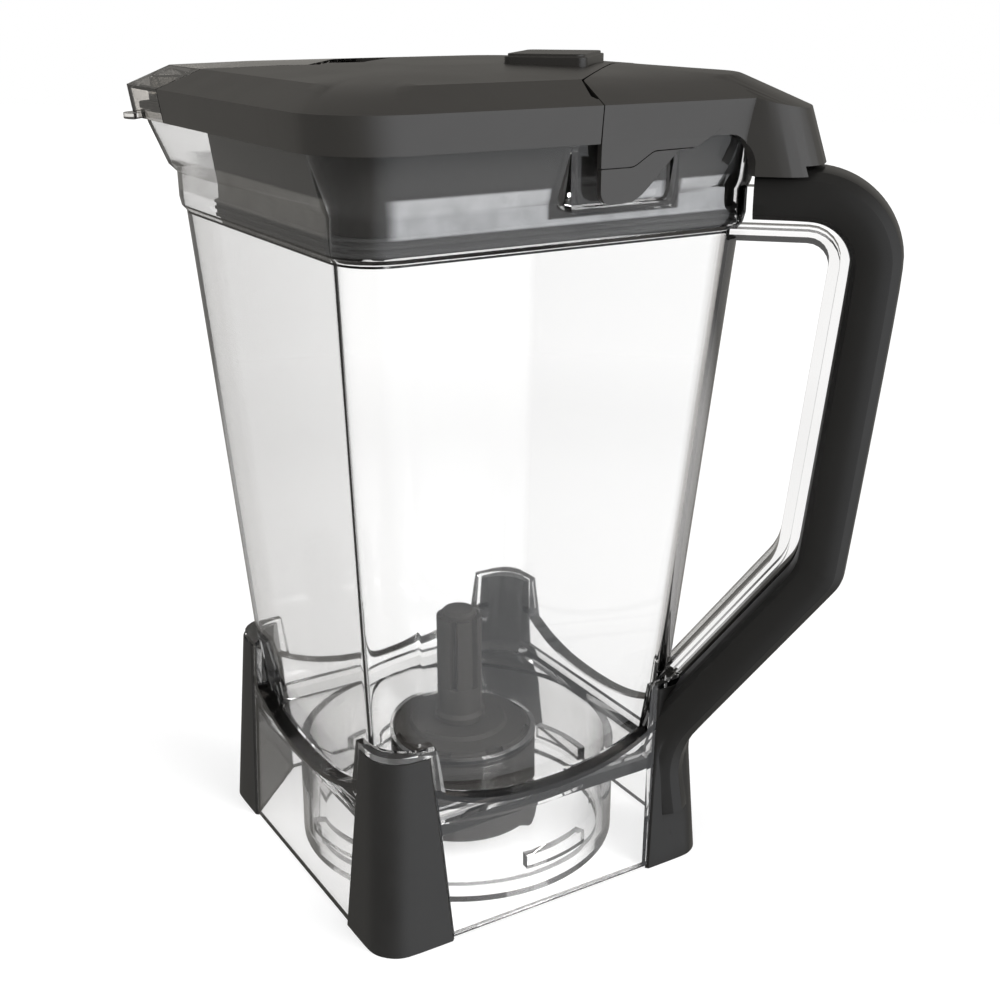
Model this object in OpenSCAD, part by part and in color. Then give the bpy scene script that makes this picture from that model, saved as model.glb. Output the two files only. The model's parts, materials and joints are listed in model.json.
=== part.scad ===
// Blender jar: a clear square pitcher that stands on four rubber feet, with a grip over a clear
// handle rib, a splined drive spindle in its floor, and a locking lid with a pouring flap.
// Millimetres, +Z up. The origin is on the drive axis at the height of the resting surface.
// The handle is at +X and the spout at -X: the jar's square stands on its diagonal.

/* [Jar] */
// Side of the square foot of the jar
base_side = 128; // [124:1:134]
// Side of the vessel just under its rim band
body_side = 136.4; // [134:0.2:138]
// How much each wall leans out, per millimetre of height
wall_lean = 0.0717; // [0.066:0.0001:0.08]
// Corner radius of the vessel
body_r = 14; // [12:0.5:17]
// Wall thickness of the clear moulding
jar_wall = 3; // [2.4:0.1:3.6]
// Height of the vessel's floor above the resting surface
floor_z = 37; // [36:0.5:39]
// Thickness of the vessel's floor
floor_t = 3; // [2.4:0.1:4]
// Height of the bottom of the rim band
band_z = 221; // [205:1:240]
// Height of the rim band, from its bottom to the mouth
band_h = 30.5; // [29:0.5:33]
// How far each side flares out from the band to the mouth
mouth_flare = 4.4; // [3.6:0.1:4.6]

/* [Base] */
// Lean of the skirt's walls, inward per millimetre of height
skirt_lean = 0.062; // [0.056:0.001:0.066]
// Height of the corner pillars
pillar_h = 68; // [64:1:72]
// Height of the lowest edge of the scoop between two pillars
scoop_z = 44; // [42:0.5:46]
// Half width of the scoop between two pillars, at their top
scoop_w = 41; // [38:0.5:42]
// How far the scoop's edge climbs from its middle to a pillar
scoop_rise = 8; // [4:0.5:12]
// Half width of a foot at the resting surface
foot_w = 18; // [16:0.5:19]
// Half width of a foot at its top
foot_top_w = 11.4; // [10:0.2:12]
// Thickness of the clear frame round a foot
frame_t = 2.2; // [1.6:0.1:2.6]
// Radius of the seat in the collar that drops over the motor base
collar_r = 50; // [48:0.5:52]
// Wall thickness of the collar
collar_t = 3; // [2:0.1:4]

/* [Handle] */
// Distance from the drive axis to the outside corner of the grip
grip_reach = 143.6; // [140:0.2:150]
// Half width of the grip
grip_w = 13; // [12:0.5:14]
// Thickness of the grip, from its finger side to its outside
grip_t = 16; // [14:0.5:18]
// Width of the clear strip on the finger side of the grip
strip_w = 6.4; // [5:0.2:8]
// Thickness of the strip's flange
flange_t = 3.4; // [2.6:0.1:4.4]
// Thickness of the rib that carries the grip
rib_t = 6; // [4:0.5:8]

/* [Drive] */
// Radius of the drive shaft
shaft_r = 4; // [3:0.25:4.5]
// Radius of the splined spindle
spindle_r = 8; // [7:0.25:9]
// Height of the top of the spindle
spindle_top = 84; // [78:1:90]
// Radius of the hub disc on the floor
hub_r = 25; // [24:0.5:27]
// Radius of the bushings and of the seal's pocket
bush_r = 8; // [7:0.25:9]
// Radius of the socket in the drive coupling
socket_r = 6; // [5:0.25:7]

/* [Lid] */
// How far the lid's lower edge stands out from the mouth, on each side
lid_over = 2.9; // [2.7:0.1:3.6]
// Height of the lid's side wall
lid_wall_h = 10.2; // [9.6:0.2:12]
// Height of the bevel above the side wall
bevel_h = 6.2; // [5.6:0.2:7.4]
// Width of the bevel
bevel_w = 11; // [9:0.5:12]
// Thickness of the lid's shells
lid_t = 2.2; // [1.8:0.1:2.6]
// Half width of the pouring flap
flap_w = 22; // [18:0.5:24]
// How far the flap's hinge lies inside the lid's half side
flap_inset = 35.3; // [32:0.1:37]
// How far the lever's inner edge lies inside the lid's half side
lever_inset = 27.5; // [25:0.1:28]
// Half width of the lever's nose over the handle
nose_w = 16; // [15.6:0.1:17]
// Length of the release button
button_l = 25; // [20:0.5:26]
// Width of the release button
button_w = 32; // [26:0.5:36]
// Travel of the release button
button_travel = 2.4; // [1.5:0.1:2.8]

/* [Hidden] */

// Facets of a round part, and steps of a rounded corner and of a bend
$fn = 24;
steps = 6;
bend_steps = 6;
// Clearances: fixed pieces, running fits and pieces on different bodies
seat_gap = 0.1;
run_gap = 0.04;
body_gap = 0.4;
eps = 0.01;
// Longer than anything that a cut has to pass through
far = 300;

clear = [0.86, 0.85, 0.84, 0.45];
black = [0.17, 0.17, 0.16];
rubber = [0.13, 0.13, 0.13];
steel = [0.72, 0.72, 0.7];
bronze = [0.68, 0.5, 0.3];

// Main heights and half sides
skirt_z = 1.2;
foot_r = 11;
under_z = floor_z - floor_t;
deck_z = scoop_z - floor_t;
mouth_z = band_z + band_h;
lid_z = mouth_z - 2.6;
bevel_z = lid_z + lid_wall_h;
crown_z = bevel_z + bevel_h;
plate_z = mouth_z + body_gap;
plate_t = 2.2;
plate_top = plate_z + plate_t;
function body_half(z) = body_side / 2 - wall_lean * (band_z - z);
function skirt_half(z) = base_side / 2 - skirt_lean * z;
// Corner reach of a rounded square, from the axis to its corner
function reach(half, r) = half * sqrt(2) - r * (sqrt(2) - 1);

// One ring of a loft: a rounded square on its diagonal, with its own radius at the spout corner
function ring(half, r, z, spout_r = undef) = [
    for (k = [0:3], i = [0:steps])
        let (cr = (k == 2 && spout_r != undef) ? spout_r : r,
             c = (half - cr) * sqrt(2),
             a = 90 * k - 45 + 90 * i / steps)
        [c * cos(90 * k) + cr * cos(a), c * sin(90 * k) + cr * sin(a), z]];

// Skin over a list of rings that have the same number of points, from the lowest to the highest
module loft(rings) {
    n = len(rings[0]);
    m = len(rings);
    bottom = [for (i = [0:n - 1]) i];
    top = [for (i = [n - 1:-1:0]) (m - 1) * n + i];
    sides = [for (j = [0:m - 2], i = [0:n - 1])
        let (a = j * n + i, b = j * n + (i + 1) % n) each [[a, a + n, b], [b, a + n, b + n]]];
    polyhedron([for (s = rings, p = s) p], concat([bottom, top], sides));
}

// Bends: a list of [x, z, radius] corners becomes a line with an arc at each corner
function unit2(v) = v / norm(v);
function bend(a, p, b, r) =
    let (u1 = unit2(a - p), u2 = unit2(b - p), half_angle = acos(u1 * u2) / 2,
         c = p + unit2(u1 + u2) * r / sin(half_angle),
         t1 = p + u1 * r / tan(half_angle) - c, t2 = p + u2 * r / tan(half_angle) - c,
         a1 = atan2(t1[1], t1[0]), turn = atan2(t2[1], t2[0]) - a1,
         sweep = turn > 180 ? turn - 360 : turn < -180 ? turn + 360 : turn)
    [for (i = [0:bend_steps]) let (q = a1 + sweep * i / bend_steps) c + r * [cos(q), sin(q)]];
function xz(p) = [p[0], p[1]];
function bent(corners) = [
    for (i = [0:len(corners) - 1])
        each (corners[i][2] == 0 ? [xz(corners[i])]
            : bend(xz(corners[i - 1]), xz(corners[i]), xz(corners[i + 1]), corners[i][2]))];

// Side faces: +u is the normal of the face between the handle and the front corner, +v runs
// along it toward the handle. A profile is drawn in v and z and pushed through from u0 to u1.
module on_side(u0, u1) {
    rotate([0, 0, -45]) translate([u0, 0, 0]) rotate([90, 0, 90])
        linear_extrude(height = u1 - u0) children();
}
module both_sides() {
    children();
    mirror([0, 1, 0]) children();
}
// A profile in x and z, pushed through along Y to both sides of the middle
module across(half_width) {
    rotate([90, 0, 0]) linear_extrude(height = 2 * half_width, center = true) children();
}
// A box from its lowest corner to its highest
module block(low, high) {
    translate(low) cube(high - low);
}
// A round bar along Y
module bar_y(x, z, r, y0, y1) {
    translate([x, y1, z]) rotate([90, 0, 0]) cylinder(r = r, h = y1 - y0);
}

// The vessel, with its rim band and the spout that sharpens one corner toward the mouth
band_half = body_half(band_z) + 1.6;
mouth_half = body_half(band_z) + 1.8 + mouth_flare;
mouth_r = 21.5;
lip_r = 3;
lid_half = mouth_half + lid_over;
flap_hinge_x = lid_half - flap_inset;
lever_x = lid_half - lever_inset;
module vessel_outer(grow = 0) {
    loft([
        ring(body_half(under_z) + grow, body_r + grow, under_z),
        ring(body_half(band_z - 1) + grow, body_r + grow, band_z - 1),
        ring(band_half - 0.3 + grow, body_r + 1 + grow, band_z + 0.6),
        ring(band_half + 0.2 + grow, body_r + 1 + grow, band_z + 3.5),
        ring(band_half + 0.4 + grow, body_r + 1.5 + grow, band_z + 11.5),
        ring(band_half + 1.2 + grow, body_r + 2.4 + grow, band_z + 13.5, body_r * 0.7 + grow),
        ring(mouth_half - 0.4 + grow, mouth_r - 0.6 + grow, mouth_z - 4, lip_r + grow),
        ring(mouth_half + grow, mouth_r + grow, mouth_z, lip_r + grow)]);
}

// The space inside the vessel: a rounded floor, the walls, the plug's seat and the open spout
floor_r = 7;
seat_half = band_half + 0.3 - jar_wall;
module vessel_inner() {
    wall_half = body_half(floor_z + floor_r) - jar_wall;
    wall_r = body_r - jar_wall;
    loft([
        for (a = [90:-30:0])
            ring(wall_half - floor_r * (1 - cos(a)), wall_r, floor_z + floor_r * (1 - sin(a))),
        ring(body_half(band_z - 2) - jar_wall, wall_r, band_z - 2),
        ring(seat_half, wall_r + 1, band_z + 1),
        ring(seat_half, wall_r + 1, band_z + 11),
        ring(seat_half + 1.2, wall_r + 2, band_z + 14, wall_r * 0.7),
        ring(mouth_half - jar_wall, mouth_r - jar_wall, mouth_z - 3.6, 1.5),
        ring(mouth_half - jar_wall, mouth_r - jar_wall, mouth_z + 1, 1.5)]);
}

// The skirt's outside, and the scoops that leave four pillars standing at its corners
module skirt_outer(grow = 0, z0 = skirt_z) {
    loft([ring(skirt_half(z0) + grow, foot_r, z0), ring(skirt_half(pillar_h) + grow, foot_r, pillar_h)]);
}
module scoop() {
    low_w = scoop_w - 2;
    sag = [for (i = [-8:8]) [low_w * i / 8, scoop_z + scoop_rise * pow(abs(i / 8), 2.4)]];
    edge = concat([[-scoop_w - 0.3, pillar_h + 2]], sag, [[scoop_w + 0.3, pillar_h + 2]]);
    for (a = [45, -45])
        rotate([0, 0, a]) translate([-far / 2, 0, 0]) rotate([90, 0, 90])
            linear_extrude(height = far) polygon(edge);
}

// A corner wedge, as wide as a foot plus a margin, from the foot's inner face outward
foot_h = pillar_h - frame_t + 0.2;
foot_x = skirt_half(0) * sqrt(2) - foot_w - 0.6;
module wedge(margin, low, high) {
    lean = (foot_w - foot_top_w) / foot_h;
    bottom = foot_w - lean * low + margin;
    top = foot_w - lean * high + margin;
    translate([foot_x - margin, 0, 0]) rotate([90, 0, 90]) linear_extrude(height = far)
        polygon([[-bottom, low], [bottom, low], [top, high], [-top, high]]);
}
module foot_block(gap = 0) {
    intersection() {
        skirt_outer(gap == 0 ? 0.5 : 4, -gap);
        wedge(gap, -gap, foot_h + gap);
    }
}
module foot() {
    difference() {
        foot_block();
        vessel_outer(seat_gap);
    }
}

// The lines of the handle: the grip's outside, and each other line at its own depth behind it
grip_top = lid_z - 9.4;
grip_start = reach(mouth_half, mouth_r) - 1;
grip_turn = [grip_reach - 12.9, grip_top - 130.9];
foot_turn = [skirt_half(scoop_z) * sqrt(2) - 6, scoop_z - 1.8];
grip_foot = [foot_turn[0] + 3.2, 20];
corners = [[grip_start, grip_top], [grip_reach, grip_top], grip_turn, foot_turn, grip_foot];
function side_normal(i) = let (d = unit2(corners[i + 1] - corners[i])) [d[1], -d[0]];
function behind(i, d) =
    i == 0 ? corners[0] + d * side_normal(0)
    : i == 4 ? corners[4] + d * side_normal(3)
    : let (n1 = side_normal(i - 1), n2 = side_normal(i)) corners[i] + d * (n1 + n2) / (1 + n1 * n2);
function rail(d, radii) = bent([for (i = [0:4]) let (p = behind(i, d)) [p[0], p[1], radii[i]]]);
outer_line = rail(0, [0, 29, 12, 26, 0]);
function inner_line(d) = rail(d, [0, max(29 - d, 6), 20 - d / 8, 26 + d, 0]);

// The grip: a section with rounded edges that runs along the handle between two lines
module grip_sweep(gap = 0) {
    inside = inner_line(grip_t + gap);
    outside = gap == 0 ? outer_line : rail(-gap, [0, 29, 12, 26, 0]);
    n = len(outside);
    half = grip_w + gap;
    loft([for (i = [n - 1:-1:0])
        let (o = outside[i], e = unit2(o - inside[i]), l = norm(o - inside[i]))
        [for (c = [[7, 1, 1], [7, 1, -1], [4, -1, -1], [4, -1, 1]], k = [0:3])
            let (q = (c[1] == c[2] ? k : 3 - k) * 30,
                 s = c[1] > 0 ? l - c[0] * (1 - sin(q)) : c[0] * (1 - sin(q)),
                 y = c[2] * (half - c[0] * (1 - cos(q))),
                 p = inside[i] + e * s)
            [p[0], -y, p[1]]]]);
}

// The clear rib that carries the grip: a flange on the finger side and a web behind it
module handle_rib() {
    flange_back = grip_t + strip_w - flange_t;
    intersection() {
        union() {
            across(8) rib_profile(flange_back, grip_t + strip_w);
            across(rib_t / 2) rib_profile(grip_t - 9, flange_back + 1);
        }
        block([reach(body_half(pillar_h), body_r) - 2, -far, foot_h + 0.5], [far, far, far]);
    }
}
module rib_profile(front, back) {
    polygon(concat([[grip_start - 12, grip_top - front]], inner_line(front),
        [for (i = [len(inner_line(back)) - 1:-1:0]) inner_line(back)[i]],
        [[grip_start - 12, grip_top - back]]));
}
// The slot in the grip that takes the web
module rib_slot() {
    across(rib_t / 2 + seat_gap) rib_profile(grip_t - 9 - seat_gap, grip_t + 1);
}

// Window on the rim that each hook of the latch hangs over: a raised frame with a ledge on top
window_low = band_z + 8.8;
module window_outline(margin, top) {
    polygon(bent([[-4.6 + margin, top, 0], [-4.6 + margin, window_low + margin, 3],
        [32.2 - margin, window_low + margin, 3], [32.2 - margin, top, 0]]));
}
module latch_window() {
    on_side(band_half - 2, mouth_half - 0.3) window_outline(0, mouth_z - 2.5);
}
module latch_recess() {
    on_side(mouth_half - 1.9, far) window_outline(2, mouth_z - 6);
}

module jar_body() color(clear) {
    difference() {
        union() {
            skirt();
            vessel_outer();
            difference() {
                handle_rib();
                translate([0, 0, -eps]) vessel_inner();
            }
            collar();
            both_sides() latch_window();
        }
        both_sides() latch_recess();
        vessel_inner();
        translate([0, 0, under_z - 1]) cylinder(r = hub_neck_r + seat_gap, h = floor_t + 2);
    }
    floor_ring();
}
// The skirt's walls, the clear frames round the feet, and the deck between skirt and vessel
module skirt() {
    difference() {
        skirt_outer();
        scoop();
        difference() {
            loft([ring(skirt_half(0) - jar_wall, foot_r - jar_wall, -1),
                  ring(skirt_half(deck_z) - jar_wall, foot_r - jar_wall, deck_z)]);
            for (k = [0:3]) rotate([0, 0, 90 * k]) wedge(frame_t, -2, deck_z + 1);
        }
        for (k = [0:3]) rotate([0, 0, 90 * k]) foot_block(seat_gap);
        grip_sweep(seat_gap);
    }
}
// The collar that drops over the motor base: a narrower seat at its mouth, and four bayonet lugs
bore_h = 5;
seat_step = 2;
lug_z = skirt_z + bore_h + 3;
module collar() {
    rotate_extrude() {
        translate([collar_r, skirt_z]) square([collar_t + seat_step, bore_h]);
        translate([collar_r + seat_step, skirt_z + bore_h])
            square([collar_t, under_z - skirt_z - bore_h + eps]);
    }
    for (k = [0:3])
        rotate([0, 0, 90 * k + 40]) rotate_extrude(angle = 28)
            translate([collar_r - 1, lug_z]) square([seat_step + 2, 5]);
}
module floor_ring() {
    rotate_extrude() translate([hub_r + 0.4, floor_z - eps]) square([1.8, 1.6]);
}

module handle_grip() color(black) {
    difference() {
        grip_sweep();
        block([0, -far, -1], [foot_x, far, pillar_h]);
        vessel_outer(seat_gap);
        rib_slot();
    }
    foot();
}
module spout_foot() color(rubber) rotate([0, 0, 180]) foot();
module front_foot() color(rubber) rotate([0, 0, -90]) foot();
module back_foot() color(rubber) rotate([0, 0, 90]) foot();

// The hub: a housing through the floor, and a cup that is screwed to it from below
hub_neck_r = hub_r - 3.2;
gasket_r = hub_r - 2;
screw_x = hub_r - 8;
boss_r = hub_r - 8;
barrel_r = bush_r + 4;
cup_r = hub_r + 2;
barrel_z = 18;
// Width of the notches round the disc, which the tool that screws it in grips
notch_w = 6.8;
module hub_housing() color(black) difference() {
    rotate_extrude() polygon([
        [bush_r, barrel_z], [barrel_r, barrel_z], [barrel_r, under_z], [hub_neck_r, under_z],
        [hub_neck_r, floor_z], [hub_r, floor_z], [hub_r, floor_z + 1.8], [hub_r - 1, floor_z + 2.6],
        [boss_r, floor_z + 3.4], [boss_r - 1, floor_z + 4.8], [bush_r, floor_z + 4.8]]);
    rotate_extrude() translate([gasket_r, floor_z - eps]) square([1.4, 1]);
    for (k = [0:3]) rotate([0, 0, 90 * k + 45]) translate([screw_x, 0, under_z - eps])
        cylinder(r = screw_r, h = 4.6);
    for (k = [0:7]) rotate([0, 0, 45 * k])
        block([hub_r - 2, -notch_w / 2, floor_z + 1.2], [far, notch_w / 2, far]);
}
module hub_gasket() color(rubber) rotate_extrude() translate([gasket_r, floor_z]) square([1.4, 0.9]);
cup_z = skirt_z + bore_h + 0.6;
cup_t = 2.4;
module hub_cup() color(black) difference() {
    rotate_extrude() polygon([
        [barrel_r + seat_gap, under_z - 3], [cup_r - cup_t, under_z - 3], [cup_r - cup_t, cup_z],
        [cup_r, cup_z], [cup_r, under_z], [barrel_r + seat_gap, under_z]]);
    for (k = [0:3]) rotate([0, 0, 90 * k + 45]) translate([screw_x, 0, 0])
        cylinder(r = screw_r + seat_gap, h = far);
}
screw_r = 1.5;
module hub_screws() color(steel) for (k = [0:3]) rotate([0, 0, 90 * k + 45]) translate([screw_x, 0, 0]) {
    translate([0, 0, under_z - 3]) cylinder(r = screw_r, h = 7.4);
    translate([0, 0, under_z - 5]) difference() {
        cylinder(r = 2.9, h = 2);
        translate([0, 0, -eps]) cylinder(r = 1.2, h = 1.2, $fn = 6);
    }
}
bush_h = 6;
upper_bush_z = floor_z - bush_h - 2;
module bushing() color(bronze) difference() {
    cylinder(r = bush_r, h = bush_h);
    translate([0, 0, -1]) cylinder(r = shaft_r + run_gap, h = bush_h + 2);
}
module upper_bushing() translate([0, 0, upper_bush_z]) bushing();
module lower_bushing() translate([0, 0, barrel_z]) bushing();
module shaft_seal() color(rubber) rotate_extrude() polygon([
    [shaft_r + run_gap, upper_bush_z + bush_h], [bush_r, upper_bush_z + bush_h],
    [bush_r, floor_z + 4.8], [bush_r - 1, floor_z + 4.8], [bush_r - 2, floor_z + 1],
    [shaft_r + 1.4, floor_z + 1], [shaft_r + run_gap, floor_z + 4]]);

// The turning parts, from the splined spindle down to the coupling
clip_z = barrel_z - 2.6;
coupling_top = clip_z - 0.3;
coupling_z = cup_z;
socket_h = 6;
spindle_z = floor_z + 5.4;
module drive_shaft() color(steel) rotate_extrude() polygon([
    [0, coupling_z + socket_h], [shaft_r, coupling_z + socket_h], [shaft_r, clip_z],
    [shaft_r - 0.8, clip_z], [shaft_r - 0.8, clip_z + 1], [shaft_r, clip_z + 1],
    [shaft_r, spindle_top - 15], [shaft_r - 0.8, spindle_top - 14], [0, spindle_top - 14]]);
spline_z = spindle_z + 13;
spline_d = 1.8;
module spindle() color(black) difference() {
    union() {
        rotate_extrude() polygon([
            [0, spindle_z], [spindle_r + 1, spindle_z], [spindle_r + 1, spindle_z + 2],
            [spindle_r, spindle_z + 3.5], [spindle_r, spline_z], [spindle_r - spline_d, spline_z],
            [spindle_r - spline_d, spindle_top - 1], [spindle_r - spline_d - 1, spindle_top],
            [0, spindle_top]]);
        for (k = [0:5]) rotate([0, 0, 60 * k]) translate([0, 0, spline_z - 1])
            intersection() {
                cylinder(r = spindle_r - seat_gap, h = spindle_top - spline_z - 1.4);
                block([0, -2.7, 0], [spindle_r + 1, 2.7, far]);
            }
    }
    translate([0, 0, spindle_z - 1]) cylinder(r = shaft_r, h = spindle_top - 14 - spindle_z + 1);
}
module drive_coupling() color(black) difference() {
    union() {
        translate([0, 0, coupling_z]) cylinder(r = socket_r + 3, h = coupling_top - coupling_z);
        for (k = [0:5]) rotate([0, 0, 60 * k]) translate([socket_r + 2.4, -1.8, coupling_z])
            cube([3.2, 3.6, coupling_top - coupling_z - 2]);
    }
    translate([0, 0, coupling_z - 1]) cylinder(r = socket_r, h = socket_h + 1);
    translate([0, 0, coupling_z]) cylinder(r = shaft_r, h = far);
}
module thrust_washer() color(steel) translate([0, 0, clip_z + 1.1]) difference() {
    cylinder(r = bush_r - 0.6, h = 1.4);
    translate([0, 0, -1]) cylinder(r = shaft_r, h = 4);
}
module retaining_clip() color(steel) translate([0, 0, clip_z]) difference() {
    cylinder(r = shaft_r + 2.6, h = 1);
    translate([0, 0, -1]) cylinder(r = shaft_r - 0.8, h = 3);
    block([0, -2.4, -1], [shaft_r + 4, 2.4, 3]);
}

// The lid's outer form: a side wall, a wide bevel and a slightly crowned top
lid_r = 24;
module lid_form(inset = 0, z0 = lid_z) {
    tip_r = 2.5;
    top_half = lid_half + 1.2 - bevel_w;
    loft([
        ring(lid_half - inset, lid_r - inset, z0, tip_r),
        ring(lid_half - inset, lid_r - inset, lid_z, tip_r),
        ring(lid_half + 1.2 - inset, lid_r - inset, bevel_z - inset * 0.4, tip_r),
        ring(top_half - inset * 0.6, 18, crown_z - inset, tip_r),
        ring(top_half * 0.72, 13, crown_z + 1.4 - inset, tip_r),
        ring(top_half * 0.36, 6, crown_z + 2.4 - inset, tip_r)]);
}
// The plan of the lever: everything beyond its inner edge and the two side seams
seam_v = 2.6;
module lever_plan(gap) {
    s = seam_v * sqrt(2) + gap;
    x0 = lever_x + gap;
    polygon([[x0, s - x0], [far, s - far], [far, far - s], [x0, x0 - s]]);
}
// Hinge of the lever, under its inner edge, and the round that the edge sweeps as it lifts
lever_pin_x = lever_x + 4.2;
lever_pin_z = crown_z - 5.1;
lever_gap = 0.5;
function swing_r(top) = norm([lever_pin_x - lever_x - lever_gap, top - lever_pin_z]) + 0.3;
module lever_swing() {
    corner_y = lever_x - seam_v * sqrt(2);
    both_sides() translate([lever_pin_x, 0, lever_pin_z]) rotate([-90, 0, 0]) rotate_extrude()
        polygon([[0, -1], [swing_r(crown_z + 2), -1], [swing_r(crown_z + 2), 0],
            [swing_r(crown_z), corner_y], [1.2, corner_y + 6], [0, corner_y + 6]]);
}
pin_r = 1.5;
post_y = 33;
post_t = 2.8;

// The pouring flap's hinge and the room round it
flap_pin_z = crown_z - 3.8;
flap_tail = flap_hinge_x - 3.4;
well_x = flap_tail - 4;
module flap_room(margin, z0) {
    block([-far, -flap_w - margin, z0], [-well_x, flap_w + margin, far]);
}

button_x = lever_x - 4.5 - button_l;
module button_block(margin, z0, z1) {
    translate([button_x + button_l / 2, 0, z0]) linear_extrude(height = z1 - z0)
        offset_box(button_l / 2 + margin, button_w / 2 + margin, 2.5);
}
// A rectangle with rounded corners, drawn from its half length and half width
module offset_box(hx, hy, r) {
    polygon([for (c = [[1, 1, 0], [-1, 1, 90], [-1, -1, 180], [1, -1, 270]], i = [0:4])
        [c[0] * (hx - r) + r * cos(c[2] + 22.5 * i), c[1] * (hy - r) + r * sin(c[2] + 22.5 * i)]]);
}

module lid_cover() color(black) difference() {
    union() {
        difference() {
            lid_form();
            translate([0, 0, -eps]) lid_form(lid_t);
        }
        intersection() {
            lid_form();
            union() {
                both_sides() block([-far, flap_w + body_gap, plate_top], [-well_x + 2, flap_w + 2.8, far]);
                block([-well_x - 2, -flap_w - 2.8, plate_top], [-well_x + 12, flap_w + 2.8, far]);
            }
        }
    }
    flap_room(body_gap, -1);
    translate([0, 0, -1]) linear_extrude(height = far) lever_plan(0);
    lever_swing();
    across(flap_w - 6) polygon([[-well_x - 1, crown_z - 7], [-well_x + 12, crown_z + 2.6],
        [-well_x + 12, far], [-well_x - 1, far]]);
    button_block(0.3, plate_top + 1, far);
    bar_y(-flap_hinge_x, flap_pin_z, pin_r, -flap_w - 3, flap_w + 3);
}

// The plug that fills the mouth, with the deck that the lever and the button sit over
plug_half = seat_half - 1.5;
plug_z = band_z - 0.4;
plug_cut_x = lid_half - 11.3;
module plug_form(inset) {
    r = body_r - jar_wall - 0.5;
    through = inset > 0 ? 1 : 0;
    loft([ring(plug_half - inset, r - inset, plug_z - through),
          ring(plug_half - inset, r - inset, band_z + 10.6),
          ring(plug_half + 1 - inset, r + 1 - inset, band_z + 14),
          ring(mouth_half - jar_wall - 1.7 - inset, mouth_r - jar_wall - 1 - inset, mouth_z - 3),
          ring(mouth_half - jar_wall - 1.7 - inset, mouth_r - jar_wall - 1 - inset,
              plate_z + 0.6 + through)]);
}
module lid_plug() color(black) {
    difference() {
        union() {
            difference() {
                plug_form(0);
                plug_form(lid_t);
            }
            intersection() {
                plug_form(0);
                block([-plug_cut_x, -far, 0], [-plug_cut_x + lid_t, far, far]);
            }
        }
        block([-far, -far, 0], [-plug_cut_x, far, far]);
    }
    difference() {
        loft([ring(mouth_half + 0.2, mouth_r, plate_z, lip_r),
              ring(mouth_half + 0.2, mouth_r, plate_top, lip_r)]);
        translate([0, 0, plate_z - 1]) linear_extrude(height = plate_t + 2) pour_hole(0);
    }
    both_sides() hinge_post();
    button_stop();
}
// The opening that the liquid pours through, with a margin for what covers it
module pour_hole(margin) {
    w = flap_w - 6;
    tip = reach(mouth_half, lip_r) - 6;
    polygon([[-plug_cut_x - 3 + margin, -w - margin], [-plug_cut_x - 3 + margin, w + margin],
        [-tip + w, w + margin], [-tip - margin, 3], [-tip - margin, -3], [-tip + w, -w - margin]]);
}
// The ring round the spring that stops the button at the end of its travel
module button_stop() {
    translate([button_x + button_l / 2, 0, plate_top - eps]) difference() {
        cylinder(r = 9.4, h = flange_z - button_travel - seat_gap - plate_top + eps);
        translate([0, 0, -1]) cylinder(r = 7.6, h = far);
    }
}
module hinge_post() {
    difference() {
        union() {
            block([lever_pin_x - 3, post_y, plate_top - eps],
                [lever_pin_x + 3, post_y + post_t, lever_pin_z]);
            bar_y(lever_pin_x, lever_pin_z, 3, post_y, post_y + post_t);
        }
        bar_y(lever_pin_x, lever_pin_z, pin_r, post_y - 1, post_y + post_t + 1);
    }
}
module lid_liner() color(black) difference() {
    loft([ring(plug_half - lid_t - seat_gap, body_r - jar_wall - 2.8, plug_z),
          ring(plug_half - lid_t - seat_gap, body_r - jar_wall - 2.8, plug_z + 2)]);
    block([-far, -far, 0], [-plug_cut_x + lid_t + seat_gap, far, far]);
}
gasket_z = band_z + 1.2;
module gasket_ring(half, r, low, high, cut_x) {
    difference() {
        loft([ring(half, r, low), ring(half, r, high)]);
        block([-far, -far, 0], [-cut_x, far, far]);
    }
}
module lid_gasket() color(rubber) difference() {
    union() {
        gasket_ring(seat_half - 0.8, body_r - jar_wall + 0.2, gasket_z, gasket_z + 5, plug_cut_x + 0.7);
        for (i = [0:2])
            gasket_ring(seat_half - 0.3, body_r - jar_wall + 0.7, gasket_z + i * 2,
                gasket_z + i * 2 + 1, plug_cut_x + 1.2);
    }
    translate([0, 0, -eps]) gasket_ring(plug_half + 0.05, body_r - jar_wall - 0.45, gasket_z - 1,
        gasket_z + 7, plug_cut_x + 0.05);
}

module spout_flap() color(clear) difference() {
    union() {
        intersection() {
            difference() {
                lid_form();
                translate([0, 0, -eps]) lid_form(lid_t);
            }
            block([-far, -flap_w, 0], [-flap_tail, flap_w, far]);
        }
        intersection() {
            lid_form();
            translate([0, 0, plate_top + 2]) linear_extrude(height = 20) difference() {
                pour_hole(1.6);
                pour_hole(0);
            }
        }
        intersection() {
            lid_form();
            both_sides() bar_y(-flap_hinge_x, flap_pin_z, 3.2, flap_w - 12, flap_w);
        }
        both_sides() block([-flap_hinge_x - 3, flap_w - 12, flap_pin_z],
            [-flap_hinge_x + 2.4, flap_w, crown_z - 1.4]);
        intersection() {
            translate([-reach(lid_half, 2.5) + 5.4, 0, lid_z - 0.4]) cylinder(r = 8.4, h = 1.8);
            block([-far, -far, 0], [-reach(mouth_half, lip_r) - body_gap, far, far]);
        }
    }
    bar_y(-flap_hinge_x, flap_pin_z, pin_r + run_gap, -flap_w - 1, flap_w + 1);
}
module flap_seal() color(rubber) translate([0, 0, plate_top + 0.3]) linear_extrude(height = 1.7)
    pour_hole(1.6);
module flap_pin() color(steel) bar_y(-flap_hinge_x, flap_pin_z, pin_r, -flap_w - 2.6, flap_w + 2.6);

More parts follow.
